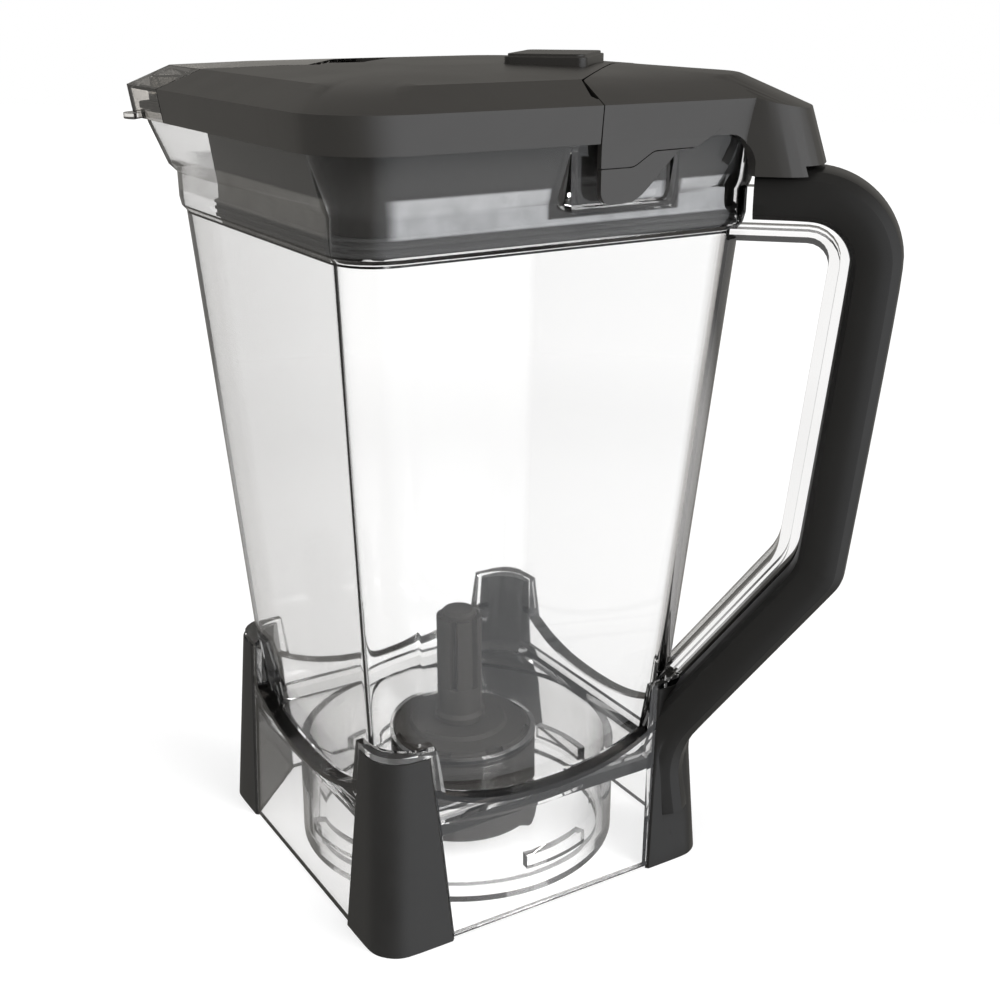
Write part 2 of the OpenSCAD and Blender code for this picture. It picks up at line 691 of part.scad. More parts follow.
// The lever's outline: the lid's own form cut to its plan, with a nose over the handle
nose_tip = reach(lid_half, 2.5) + 8.4;
nose_z = grip_top - 2.4;
nose_x = lid_half + 0.7;
nose_tilt = 0.2;
function nose_plan(w, tip, x0) = let (r = w - 3) concat(
    [[x0, -w], [tip - r, -w]],
    [for (a = [-75:15:75]) [tip - r + r * cos(a), (w - r + r * abs(sin(a))) * sign(a)]],
    [[tip - r, w], [x0, w]]);
function nose_ring(w, tip, z, x0, tilt = 0) =
    [for (p = nose_plan(w, tip, x0)) [p[0], p[1], z + tilt * (tip - p[0])]];
module nose(inset, z0) {
    x0 = nose_x - inset;
    loft([nose_ring(nose_w + 0.6 - inset, nose_tip - inset, z0, x0),
          nose_ring(nose_w - inset, nose_tip - 6.3 - inset, lid_z + 6.9 - inset * 0.8, x0, nose_tilt),
          nose_ring(nose_w - 4 - inset, nose_tip - 28 - inset, crown_z - 0.3 - inset, x0)]);
}
// The lower edge of the lever's side: the seam with the latch, the arch, and the nose
latch_low = band_z + 11.4;
arch_v = lid_half - nose_w * sqrt(2) + 1.7;
function side_edge() = bent([[seam_v - 1, lid_z - 6.6, 0], [14, lid_z - 6.6, 5], [20.8, lid_z - 2.6, 5],
    [36, lid_z - 2.4, 4], [41, lid_z + 0.4, 5], [arch_v - 1, lid_z + 0.4, 8], [arch_v, nose_z - 1.5, 0]]);
function latch_edge() = bent([[seam_v + 0.4, lid_z - 6.9, 0], [seam_v + 0.4, latch_low, 3.5],
    [15, latch_low, 11], [29.5, lid_z - 2.9, 4], [35.6, lid_z - 2.7, 0], [20.8, lid_z - 2.9, 5],
    [14, lid_z - 6.9, 5], [seam_v + 4, lid_z - 6.9, 0]]);
module lever_side_cut() {
    both_sides() on_side(60, lid_half + 2) polygon(concat(side_edge(), [[arch_v, 0], [seam_v - 1, 0]]));
}
module lever_cover() color(black) difference() {
    union() {
        intersection() {
            lid_form(0, nose_z - 1);
            linear_extrude(height = far) lever_plan(lever_gap);
        }
        nose(0, nose_z - 1);
    }
    block([0, -far, 0], [far, far, nose_z]);
    lever_hollow();
    lever_side_cut();
    both_sides() on_side(60, lid_half - 0.9) latch_tongue(0.1);
}
module lever_hollow() {
    lid_form(lid_t - 0.2, nose_z - 2);
    nose(2.4, nose_z - 2);
    block([nose_x - 6, -grip_w - 0.8, 0], [far, grip_w + 0.8, grip_top + 0.6]);
    block([nose_x - 4, -nose_w - 1, 0], [mouth_half * sqrt(2) - nose_w + 1.6, nose_w + 1, plate_top + 0.4]);
}
// The latch: two hooks outside the rim, each on a tongue that laps behind the lever's wall
module latch_tongue(gap) {
    translate([-gap, -gap]) square_from([seam_v + 1.6, lid_z - 8], [15, plate_top + 4.4 + gap], gap);
}
module square_from(low, high, gap) {
    translate(low) square([high[0] - low[0] + 2 * gap, high[1] - low[1]]);
}
module latch_frame() color(black) {
    inner = lid_half - lid_t + 0.3;
    difference() {
        union() {
            both_sides() {
                on_side(inner, lid_half) polygon(latch_edge());
                on_side(inner, lid_half - 1) latch_tongue(0);
                intersection() {
                    on_side(inner - 12, inner + 0.5) polygon([[seam_v + 1.6, plate_top + 0.5],
                        [14, plate_top + 0.5], [14, plate_top + 4.4], [seam_v + 1.6, plate_top + 4.4]]);
                    block([lever_pin_x - 1, -far, 0], [far, far, far]);
                }
                bar_y(lever_pin_x, lever_pin_z, 2.9, post_y + post_t + 0.4, post_y + post_t + 4.4);
                block([lever_pin_x - 1, post_y + post_t + 0.4, plate_top + 0.5],
                    [lever_pin_x + 2.9, post_y + post_t + 4.4, lever_pin_z]);
            }
            block([lever_pin_x - 1, -post_y - post_t - 7, plate_top + 0.5],
                [lever_pin_x + 5, post_y + post_t + 7, plate_top + 3.4]);
        }
        both_sides() {
            bar_y(lever_pin_x, lever_pin_z, pin_r + run_gap, post_y + post_t, post_y + post_t + 5);
            block([lever_pin_x - 4, post_y - 0.5, 0], [lever_pin_x + 3.4, post_y + post_t + 0.4, far]);
        }
    }
}
module lever_pins() color(steel) both_sides()
    bar_y(lever_pin_x, lever_pin_z, pin_r, post_y, post_y + post_t + 4.4);

// The release button, sprung in its window beside the lever
button_top = crown_z + 5.2;
flange_z = crown_z - 4;
module release_button() color(black) difference() {
    union() {
        button_block(0, flange_z, button_top - 0.8);
        button_block(-0.8, button_top - 0.9, button_top);
        button_block(1, flange_z, flange_z + 1.4);
    }
    translate([button_x + button_l / 2, 0, flange_z - 1])
        cylinder(r = 7, h = button_top - 2.6 - flange_z + 1);
}
spring_turns = 4;
spring_r = 5;
module button_spring() color(steel) {
    low = plate_top + 0.6 + seat_gap;
    wire = 0.6;
    high = button_top - 2.6 - wire - seat_gap;
    rings = [for (i = [0:spring_turns * 12])
        let (a = 30 * i, z = low + (high - low) * i / (spring_turns * 12))
        [for (q = [0:60:300]) let (r = spring_r + wire * cos(q))
            [r * cos(a), r * sin(a), z - wire * sin(q)]]];
    translate([button_x + button_l / 2, 0, 0]) loft(rings);
}

jar_body();
handle_grip();
spout_foot();
front_foot();
back_foot();
hub_housing();
hub_cup();
hub_gasket();
hub_screws();
upper_bushing();
lower_bushing();
shaft_seal();
drive_shaft();
spindle();
drive_coupling();
thrust_washer();
retaining_clip();
lid_cover();
lid_plug();
lid_liner();
lid_gasket();
spout_flap();
flap_seal();
flap_pin();
lever_cover();
latch_frame();
lever_pins();
release_button();
button_spring();
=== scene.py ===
"""Looks of the clear blender jar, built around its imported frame.

Every length is in metres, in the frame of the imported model: +Z up along the drive axis, +X toward
the handle and -X toward the spout.
"""

import json
import logging
import math
from dataclasses import dataclass
from enum import Enum
from typing import Sequence

import bmesh
import bpy
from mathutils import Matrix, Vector


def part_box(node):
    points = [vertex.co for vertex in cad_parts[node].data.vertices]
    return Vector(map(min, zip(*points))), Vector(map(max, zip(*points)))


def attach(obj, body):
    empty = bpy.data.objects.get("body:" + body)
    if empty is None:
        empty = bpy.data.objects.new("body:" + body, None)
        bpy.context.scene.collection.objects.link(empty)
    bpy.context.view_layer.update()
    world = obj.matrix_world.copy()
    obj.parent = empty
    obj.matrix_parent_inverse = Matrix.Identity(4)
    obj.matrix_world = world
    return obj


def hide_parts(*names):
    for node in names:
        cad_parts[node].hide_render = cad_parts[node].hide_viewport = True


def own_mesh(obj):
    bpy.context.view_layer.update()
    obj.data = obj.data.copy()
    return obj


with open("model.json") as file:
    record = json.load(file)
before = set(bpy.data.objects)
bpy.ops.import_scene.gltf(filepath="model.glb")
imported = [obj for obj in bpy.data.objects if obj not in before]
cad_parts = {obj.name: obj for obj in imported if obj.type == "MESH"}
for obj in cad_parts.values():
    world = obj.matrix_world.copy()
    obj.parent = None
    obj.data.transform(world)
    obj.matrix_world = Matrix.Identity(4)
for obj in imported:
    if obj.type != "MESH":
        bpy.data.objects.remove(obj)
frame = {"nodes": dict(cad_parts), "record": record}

MM = 0.001
FAR = 2.0  # A limit that no length or share on the jar reaches
WAVE_PERIOD = math.pi / 10  # From one band of a wave texture to the next, at a scale of 1
log = logging.getLogger("blender_jar")

Colour = tuple[float, float, float]
Point = tuple[float, float, float]


class Body(Enum):
    """The moving bodies that pieces ride on."""

    JAR = "jar"
    DRIVE = "drive"
    LID = "lid"
    FLAP = "flap"
    LEVER = "lever"
    BUTTON = "button"


class Slot(Enum):
    """The record's material slots."""

    CLEAR = "clear_plastic"
    FLAP = "flap_plastic"
    GRIP = "grip_plastic"
    FOOT = "foot_rubber"
    LID = "lid_plastic"
    HUB = "hub_plastic"
    SEAL = "seal_rubber"
    BRONZE = "sintered_bronze"
    STEEL = "steel"


def scaled(colour: Colour, factor: float) -> Colour:
    """A lighter or darker shade of a colour.

    Args:
        colour: The colour.
        factor: How many times as light it becomes.

    Returns:
        The shade.
    """
    return tuple(channel * factor for channel in colour)


def add_object(name: str, mesh: bmesh.types.BMesh) -> bpy.types.Object:
    """Puts a finished bmesh, which is freed, into the scene.

    Args:
        name: The object's name.
        mesh: Its shape, in place.

    Returns:
        The object, which stands at the origin.
    """
    data = bpy.data.meshes.new(name)
    mesh.to_mesh(data)
    mesh.free()
    made = bpy.data.objects.new(name, data)
    bpy.context.scene.collection.objects.link(made)
    return made


class Value:
    """A shader socket on which Python arithmetic adds Math nodes."""

    def __init__(self, graph: "Graph", socket: bpy.types.NodeSocket) -> None:
        """Wraps a socket.

        Args:
            graph: The graph that the socket belongs to.
            socket: An output socket of one of its nodes.
        """
        self.graph = graph
        self.socket = socket

    def _math(self, operation: str, *terms: "Value | float") -> "Value":
        """Adds one Math node.

        Args:
            operation: The node's operation.
            terms: The values of its inputs, in order.

        Returns:
            The node's result.
        """
        return self.graph.add("ShaderNodeMath", {"operation": operation}, dict(enumerate(terms)))

    def __add__(self, other: "Value | float") -> "Value":
        """Sum."""
        return self._math("ADD", self, other)

    def __sub__(self, other: "Value | float") -> "Value":
        """Difference."""
        return self._math("SUBTRACT", self, other)

    def __rsub__(self, other: float) -> "Value":
        """Difference from a number."""
        return self._math("SUBTRACT", other, self)

    def __mul__(self, other: "Value | float") -> "Value":
        """Product."""
        return self._math("MULTIPLY", self, other)

    def __truediv__(self, other: "Value | float") -> "Value":
        """Quotient."""
        return self._math("DIVIDE", self, other)

    def __pow__(self, other: float) -> "Value":
        """Power."""
        return self._math("POWER", self, other)

    def __abs__(self) -> "Value":
        """Size without its sign."""
        return self._math("ABSOLUTE", self)

    __radd__ = __add__
    __rmul__ = __mul__

    def clamped(self) -> "Value":
        """The value, held between 0 and 1."""
        return self._math("MINIMUM", self._math("MAXIMUM", self, 0.0), 1.0)


@dataclass(frozen=True)
class Zone:
    """A stretch between two limits, with soft ends.

    Attributes:
        low: The lower limit.
        high: The upper limit.
        soft: The width of the change at each limit, inside it.
    """

    low: float
    high: float
    soft: float

    def of(self, value: Value) -> Value:
        """1 where a value lies in the stretch, and 0 outside it.

        Args:
            value: The value.

        Returns:
            The mask.
        """
        return ((value - self.low) / self.soft).clamped() * ((self.high - value) / self.soft).clamped()


@dataclass(frozen=True)
class Mottle:
    """A kind of noise on a surface.

    Attributes:
        size: The size of its features.
        detail: How many finer layers it has.
        fineness: How strong the finer layers are.
    """

    size: float
    detail: float = 2.0
    fineness: float = 0.5


class Graph:
    """The node tree of one material or world."""

    def __init__(self, owner: bpy.types.Material | bpy.types.World) -> None:
        """Starts the owner's tree anew.

        Args:
            owner: What the tree belongs to.
        """
        owner.use_nodes = True
        self.owner = owner
        self.tree = owner.node_tree
        self.tree.nodes.clear()

    @classmethod
    def of_material(cls, name: str) -> "Graph":
        """The empty graph of a new material.

        Args:
            name: The material's name.

        Returns:
            The graph.
        """
        return cls(bpy.data.materials.new(name))

    def add(
        self, kind: str, settings: dict | None = None, inputs: dict | None = None, output: int | str = 0
    ) -> Value:
        """Adds a node.

        Args:
            kind: The node's type.
            settings: Its properties, set before its inputs.
            inputs: Numbers, colours or Values, by the input's name or index.
            output: The output to return.

        Returns:
            The chosen output.
        """
        node = self.tree.nodes.new(kind)
        for name, setting in (settings or {}).items():
            setattr(node, name, setting)
        for name, value in (inputs or {}).items():
            if isinstance(value, Value):
                self.tree.links.new(value.socket, node.inputs[name])
            else:
                node.inputs[name].default_value = value
        return Value(self, node.outputs[output] if node.outputs else None)

    def place(self) -> Value:
        """The point on the object."""
        return self.add("ShaderNodeTexCoord", output="Object")

    def axes(self) -> tuple[Value, Value, Value]:
        """The point's three coordinates."""
        x, y, z = (self.add("ShaderNodeSeparateXYZ", {}, {0: self.place()}, output=axis) for axis in "XYZ")
        return x, y, z

    def noise(self, kind: Mottle) -> Value:
        """Noise between 0 and 1.

        Args:
            kind: What it looks like.

        Returns:
            The noise's value.
        """
        return self.add("ShaderNodeTexNoise", {}, {
            "Vector": self.place(),
            "Scale": 1.0 / kind.size,
            "Detail": kind.detail,
            "Roughness": kind.fineness,
        })

    def mix(self, amount: Value | float, low: Colour | Value, high: Colour | Value) -> Value:
        """A mix of two colours.

        Args:
            amount: 0 for the first colour, 1 for the second.
            low: The first colour.
            high: The second colour.

        Returns:
            The mixed colour.
        """
        ends = [c if isinstance(c, Value) else (*c, 1.0) for c in (low, high)]
        inputs = {"Factor": amount, 6: ends[0], 7: ends[1]}
        return self.add("ShaderNodeMix", {"data_type": "RGBA"}, inputs, output=2)

    def bump(self, height: Value, depth: float, strength: float = 1.0) -> Value:
        """A normal from a height.

        Args:
            height: The height, where 1 is the full depth.
            depth: The full depth.
            strength: How much of it shows.

        Returns:
            The normal.
        """
        return self.add("ShaderNodeBump", {}, {"Height": height, "Distance": depth, "Strength": strength})

    def glow(self, colour: Colour, strength: Value | float) -> Value:
        """Light that a surface gives off.

        Args:
            colour: Its colour.
            strength: Its strength, where 1 shows the colour as it is.

        Returns:
            The shader.
        """
        return self.add("ShaderNodeEmission", {}, {"Color": (*colour, 1.0), "Strength": strength})

    def finish(self, shader: Value, volume: Value | None = None) -> bpy.types.Material:
        """Links the shader to the material's output.

        Args:
            shader: The surface's shader.
            volume: The shader of what is inside, if any.

        Returns:
            The material.
        """
        inputs = {"Surface": shader} if volume is None else {"Surface": shader, "Volume": volume}
        self.add("ShaderNodeOutputMaterial", {}, inputs)
        return self.owner


@dataclass(frozen=True)
class SatinPlastic:
    """Black moulded plastic with a fine sparked grain and faint smears of handling.

    Attributes:
        gloss: The strength of its reflections, where 0.5 is common plastic.
        grain_depth: The depth of the sparked grain.
        grain_sheen: How much the grain changes the roughness.
        smear_sheen: How much the smears change it.
        lightest: The lightest tone, as a share of the colour.
        darkest: The darkest tone.
    """

    name: str
    colour: Colour
    roughness: float = 0.42
    gloss: float = 0.5
    grain: Mottle = Mottle(0.4 * MM, 3.0, 0.6)
    grain_depth: float = 0.004 * MM
    grain_sheen: float = 0.08
    smear: Mottle = Mottle(38 * MM, 4.0, 0.55)
    smear_sheen: float = 0.14
    blotch: Mottle = Mottle(6 * MM)
    lightest: float = 1.16
    darkest: float = 0.86

    def make(self) -> bpy.types.Material:
        """Builds the material.

        Returns:
            The material.
        """
        g = Graph.of_material(self.name)
        grain = g.noise(self.grain)
        smears = g.noise(self.smear)
        tone = (smears * 0.5 + g.noise(self.blotch) * 0.5).clamped()
        sheen = (smears - 0.5) * self.smear_sheen + (grain - 0.5) * self.grain_sheen
        dark = scaled(self.colour, self.darkest)
        light = scaled(self.colour, self.lightest)
        return g.finish(g.add("ShaderNodeBsdfPrincipled", {}, {
            "Base Color": g.mix(tone, dark, light),
            "Roughness": (sheen + self.roughness).clamped(),
            "Specular IOR Level": self.gloss,
            "Normal": g.bump(grain, self.grain_depth),
        }))


@dataclass(frozen=True)
class ClearMoulding:
    """Clear moulded plastic, with painted shade where the eye looks along its walls.

    Attributes:
        tint: Its colour where it is seen straight on.
        edge_shade_colour: The painted shade's colour where it is seen along a wall.
        edge_power: How late the change between them comes.
        edge_share: How far the change goes.
        refraction: The plastic's refractive index.
        gloss: The strength of its reflections.
        body_tint: The colour that light takes on inside the plastic.
        density: How soon it takes it on.
        haze: How much faint marks of handling dull it.
        wave_depth: The depth of the moulding's slow waves.
        wave_strength: How much of them shows.
    """

    name: str
    tint: Colour
    edge_shade_colour: Colour
    edge_power: float = 3.4
    edge_share: float = 0.95
    roughness: float = 0.02
    refraction: float = 1.45
    gloss: float = 0.2
    body_tint: Colour = (0.45, 0.42, 0.4)
    density: float = 3.0
    marks: Mottle = Mottle(9 * MM, 3.0)
    haze: float = 0.02
    waves: Mottle = Mottle(24 * MM)
    wave_depth: float = 0.05 * MM
    wave_strength: float = 0.5

    def colour(self, g: Graph) -> Value:
        """The moulding's tint, with painted shade darkening it where it is seen along a wall.

        Args:
            g: The material's graph.

        Returns:
            The tint.
        """
        # Painted shade: the colour darkens toward the edges that the eye sees along a wall.
        facing = g.add("ShaderNodeLayerWeight", {}, {"Blend": 0.5}, output="Facing")
        edge = (facing ** self.edge_power * self.edge_share).clamped()
        return g.mix(edge, self.tint, self.edge_shade_colour)

    def painted_mirror(self, g: Graph) -> Value | float:
        """How much of the surface shines like metal, which is none of it.

        Args:
            g: The material's graph, which is not used.

        Returns:
            The share.
        """
        return 0.0

    def make(self) -> bpy.types.Material:
        """Builds the material.

        Returns:
            The material.
        """
        g = Graph.of_material(self.name)
        surface = g.add("ShaderNodeBsdfPrincipled", {}, {
            "Base Color": self.colour(g),
            "Metallic": self.painted_mirror(g),
            "Roughness": g.noise(self.marks) * self.haze + self.roughness,
            "Specular IOR Level": self.gloss,
            "Transmission Weight": 1.0,
            "IOR": self.refraction,
            "Normal": g.bump(g.noise(self.waves), self.wave_depth, self.wave_strength),
        })
        inside = g.add("ShaderNodeVolumeAbsorption", {}, {
            "Color": (*self.body_tint, 1.0), "Density": self.density})
        return g.finish(surface, inside)


@dataclass(frozen=True)
class ScoopDeck:
    """The deck over a side of the skirt, which dips between the pillars.

    Attributes:
        low: The height of its lowest point.
        rise: How far it rises at its half width.
        half: Its half width.
        power: How late the rise comes.
        thickness: Its own zone, from its height.
    """

    low: float = 44 * MM
    rise: float = 8 * MM
    half: float = 39 * MM
    power: float = 2.4
    thickness: Zone = Zone(-2 * MM, 1 * MM, 0.2 * MM)

    def of(self, along: Value, z: Value) -> Value:
        """1 at the deck's height, and 0 over and under it.

        Args:
            along: How far a point is from the middle of its side.
            z: The point's height.

        Returns:
            The mask.
        """
        return self.thickness.of(z - ((along / self.half) ** self.power * self.rise + self.low))


@dataclass(frozen=True)
class CornerShade:
    """Painted shade: the grey painted on the vessel's handle and spout corners, where two walls meet.

    Attributes:
        corner: The corner's zone, as the share by which a point is nearer to the X axis.
        height: The vessel's stretch that shows it.
        side_change: How far from the middle the handle's side begins.
        handle_share: The strength on the handle's side.
        spout_share: The strength on the spout's side.
        rib_start: Where the rib inside the grip begins, at the foot.
        rib_lean: How much farther out it begins for each metre up.
        rib_change: The width of that change.
        rib_loss: How much of the shade the rib takes away.
    """

    corner: Zone = Zone(0.79, FAR, 0.03)
    height: Zone = Zone(48 * MM, 219 * MM, 1 * MM)
    side_change: float = 8 * MM
    handle_share: float = 0.39
    spout_share: float = 0.12
    rib_start: float = 69 * MM
    rib_lean: float = 0.1
    rib_change: float = 3 * MM
    rib_loss: float = 0.6

    def of(self, x: Value, y: Value, z: Value) -> Value:
        """The strength of the painted shade.

        Args:
            x: The point's place along X.
            y: Its place along Y.
            z: Its height.

        Returns:
            The strength.
        """
        near_x = (abs(x) - abs(y)) / (abs(x) + abs(y))
        by_handle = (x / self.side_change).clamped()
        share = by_handle * (self.handle_share - self.spout_share) + self.spout_share
        rib = ((x - z * self.rib_lean - self.rib_start) / self.rib_change).clamped()
        return self.corner.of(near_x) * share * (1.0 - rib * self.rib_loss) * self.height.of(z)


@dataclass(frozen=True)
class RimBandReflection:
    """A painted reflection: the silvery strip on the flat sides of the rim band, drawn as metal, with the
    latch's window left out.

    Attributes:
        height: The strip's heights.
        flat: The flat part of a side, as the share of a point's way to the corner.
        streak_least: The least share of shine in the strip.
        streak_change: How much its streaks add.
        window_along: The window's frame, along its side toward the handle.
        window_height: The frame's heights.
        pane_along: The window's pane, along its side.
        pane_height: The pane's heights.
    """

    height: Zone = Zone(226.5 * MM, 237.5 * MM, 0.7 * MM)
    flat: Zone = Zone(-FAR, 0.85, 0.06)
    streaks: Mottle = Mottle(7 * MM, 3.0)
    streak_least: float = 0.14
    streak_change: float = 0.2
    window_along: Zone = Zone(-10 * MM, 36 * MM, 1 * MM)
    window_height: Zone = Zone(228.4 * MM, FAR, 0.5 * MM)
    pane_along: Zone = Zone(9 * MM, 29 * MM, 2 * MM)
    pane_height: Zone = Zone(232.4 * MM, FAR, 0.5 * MM)

    def of(self, g: Graph, out: Value, along: Value, ahead: Value, z: Value) -> Value:
        """How much the strip's painted reflection shines.

        Args:
            g: The material's graph.
            out: How far out on its side a point is.
            along: How far it is from the middle of its side.
            ahead: How far it is along its side toward the handle.
            z: Its height.

        Returns:
            The share of metal that paints the reflection.
        """
        streaks = g.noise(self.streaks) * self.streak_change + self.streak_least
        window = self.window_along.of(ahead) * self.window_height.of(z)
        pane = self.pane_along.of(ahead) * self.pane_height.of(z)
        return self.height.of(z) * self.flat.of(along / out) * streaks * (1.0 - window + pane)


@dataclass(frozen=True)
class JarMoulding(ClearMoulding):
    """The jar's clear moulding, with painted shade on its thick edges and seams.

    Attributes:
        thick_edge_shade: The painted shade's colour on an edge that the eye looks along.
        corner_shade_grey: The painted shade's grey on the vessel's corners.
        skirt: How far out the skirt's walls stand.
        bottom: The heights of the bottom edge.
        hub_lip: The heights of the lip that the hub sits in.
        hub_reach: How far the lip reaches from the middle.
        lip_top: The heights of the lip's top, where the painted glint goes.
        lip_glint: How strong the painted glint on that top is, drawn as metal.
    """

    thick_edge_shade: Colour = (0.004, 0.0033, 0.0028)
    corner_shade_grey: Colour = (0.3, 0.275, 0.255)
    deck: ScoopDeck = ScoopDeck()
    corner: CornerShade = CornerShade()
    band: RimBandReflection = RimBandReflection()
    skirt: Zone = Zone(56.3 * MM, FAR, 0.3 * MM)
    bottom: Zone = Zone(-FAR, 1.8 * MM, 0.2 * MM)
    hub_lip: Zone = Zone(37.1 * MM, 38.5 * MM, 0.1 * MM)
    hub_reach: Zone = Zone(-FAR, 30 * MM, 1 * MM)
    lip_top: Zone = Zone(38.5 * MM, 38.7 * MM, 0.05 * MM)
    lip_glint: float = 0.85

    def colour(self, g: Graph) -> Value:
        """The tint, with painted shade dark on the scoops' decks, the bottom edge and the hub's lip, and
        painted shade grey at the corners.

        Args:
            g: The material's graph.

        Returns:
            The tint.
        """
        x, y, z = g.axes()
        out, along = self._side(x, y)
        # Painted shade: the scoops' decks, the bottom edge and the hub's lip turn near black where the eye
        # looks along the plastic.
        decks = self.deck.of(along, z) * self.skirt.of(out)
        bottom = self.bottom.of(z) * self.skirt.of(out)
        lip = self.hub_lip.of(z) * self.hub_reach.of(self._reach(x, y))
        # Painted shade: grey on the handle and spout corners.
        corner_shaded = g.mix(self.corner.of(x, y, z), super().colour(g), self.corner_shade_grey)
        return g.mix((decks + lip + bottom).clamped(), corner_shaded, self.thick_edge_shade)

    def painted_mirror(self, g: Graph) -> Value:
        """How much painted reflection the rim band's strip and the hub's lip show, drawn as metal.

        Args:
            g: The material's graph.

        Returns:
            The share.
        """
        x, y, z = g.axes()
        out, along = self._side(x, y)
        ahead = (x - abs(y)) / math.sqrt(2)
        # Painted glint: a bright metal ring on the top of the hub's lip.
        ring = self.lip_top.of(z) * self.hub_reach.of(self._reach(x, y)) * self.lip_glint
        # Painted reflection on the rim band's strip, with the painted glint on the hub's lip.
        return self.band.of(g, out, along, ahead, z) + ring

    @staticmethod
    def _reach(x: Value, y: Value) -> Value:
        """How far a point is from the drive axis.

        Args:
            x: The point's place along X.
            y: Its place along Y.

        Returns:
            The distance.
        """
        return (x * x + y * y) ** 0.5

    @staticmethod
    def _side(x: Value, y: Value) -> tuple[Value, Value]:
        """Turns a point into its nearest side's own directions.

        Args:
            x: The point's place along X.
            y: Its place along Y.

        Returns:
            How far out the point is, and how far it is from the middle of its side.
        """
        return (abs(x) + abs(y)) / math.sqrt(2), abs(abs(x) - abs(y)) / math.sqrt(2)


@dataclass(frozen=True)
class SoftRubber:
    """Black moulded rubber, matte and slightly dusty.

    Attributes:
        gloss: The strength of its reflections.
        grain_depth: The depth of its grain.
        dust_gain: How sharply dusty and clean patches part.
        dust_floor: How much of the dust's noise stays clean.
        dust_light: How many times as light dust is.
        dust_veil: What dust adds to the colour.
        dust_sheen: How much the dust changes the roughness.
    """

    name: str
    colour: Colour
    roughness: float = 0.6
    gloss: float = 0.4
    grain: Mottle = Mottle(0.5 * MM, 4.0, 0.65)
    grain_depth: float = 0.01 * MM
    dust: Mottle = Mottle(16 * MM, 5.0, 0.6)
    dust_gain: float = 1.4
    dust_floor: float = 0.3
    dust_light: float = 1.35
    dust_veil: float = 0.004
    dust_sheen: float = 0.16

    def make(self) -> bpy.types.Material:
        """Builds the material.

        Returns:
            The material.
        """
        g = Graph.of_material(self.name)
        dust = g.noise(self.dust)
        dusty = tuple(channel + self.dust_veil for channel in scaled(self.colour, self.dust_light))
        return g.finish(g.add("ShaderNodeBsdfPrincipled", {}, {
            "Base Color": g.mix((dust * self.dust_gain - self.dust_floor).clamped(), self.colour, dusty),
            "Roughness": ((dust - 0.5) * self.dust_sheen + self.roughness).clamped(),
            "Specular IOR Level": self.gloss,
            "Normal": g.bump(g.noise(self.grain), self.grain_depth),
        }))


@dataclass(frozen=True)
class TurnedMetal:
    """Turned metal with fine rings along its height and faint stains.

    Attributes:
        ring: The distance from one ring to the next.
        ring_depth: Their depth.
        ring_sheen: How much they change the roughness.
        ring_waver: How much they waver.
        ring_detail: How many finer layers the wavering has.
        stain_sheen: How much the stains change the roughness.
        stain_dark: The darkest stain, as a share of the colour.
    """

    name: str
    colour: Colour
    roughness: float = 0.3
    ring: float = 1.131 * MM
    ring_depth: float = 0.01 * MM
    ring_sheen: float = 0.1
    ring_waver: float = 2.0
    ring_detail: float = 2.0
    stain: Mottle = Mottle(4 * MM, 4.0)
    stain_sheen: float = 0.12
    stain_dark: float = 0.8

    def make(self) -> bpy.types.Material:
        """Builds the material.

        Returns:
            The material.
        """
        g = Graph.of_material(self.name)
        rings = g.add("ShaderNodeTexWave", {"bands_direction": "Z"}, {
            "Vector": g.place(),
            "Scale": WAVE_PERIOD / self.ring,
            "Distortion": self.ring_waver,
            "Detail": self.ring_detail,
        })
        stains = g.noise(self.stain)
        sheen = (rings - 0.5) * self.ring_sheen + (stains - 0.5) * self.stain_sheen
        return g.finish(g.add("ShaderNodeBsdfPrincipled", {}, {
            "Base Color": g.mix(stains, scaled(self.colour, self.stain_dark), self.colour),
            "Metallic": 1.0,
            "Roughness": (sheen + self.roughness).clamped(),
            "Normal": g.bump(rings, self.ring_depth),
        }))


# Painted shade: a darker, duller copy of the lid plastic for the plug inside the rim.
SHADED_LID_COPY = SatinPlastic("lid_plug_shaded_plastic", (0.014, 0.0132, 0.0124), roughness=0.5, gloss=0.15)

FINISHES = {
    # The third colour of each clear moulding is its painted edge shade.
    Slot.CLEAR: JarMoulding("clear_moulding", (1.0, 0.999, 0.997), (0.17, 0.15, 0.137)),
    Slot.FLAP: ClearMoulding("smoked_moulding", (0.86, 0.84, 0.81), (0.03, 0.027, 0.025), density=12.0),
    Slot.GRIP: SatinPlastic("grip_plastic", (0.01, 0.0097, 0.0093), roughness=0.34, gloss=0.3),
    Slot.FOOT: SoftRubber("foot_rubber", (0.013, 0.0127, 0.0123), roughness=0.46),
    Slot.LID: SatinPlastic("lid_plastic", (0.0165, 0.0153, 0.0138), roughness=0.38, gloss=0.75),
    Slot.HUB: SatinPlastic("hub_plastic", (0.024, 0.022, 0.02), roughness=0.5, gloss=0.15),
    Slot.SEAL: SoftRubber("seal_rubber", (0.02, 0.02, 0.02)),
    Slot.BRONZE: TurnedMetal("sintered_bronze", (0.5, 0.34, 0.18), roughness=0.5),
    Slot.STEEL: TurnedMetal("steel", (0.6, 0.6, 0.59)),
}


@dataclass(frozen=True)
class Edges:
    """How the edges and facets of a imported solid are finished.

    Attributes:
        width: The width of the rounding, or 0 for none.
        sharp: The angle in degrees over which an edge is rounded.
        steps: The number of faces across the rounding.
        crease: The angle in degrees over which an edge is shaded sharp.
        flatness: How strongly a large face keeps its own normal at its rim, up to 100.
        curve_steps: How many times the facets of its curves are divided into smooth ones.
    """

    width: float
    sharp: float = 24.0
    steps: int = 3
    crease: float = 40.0
    flatness: int = 50
    curve_steps: int = 0


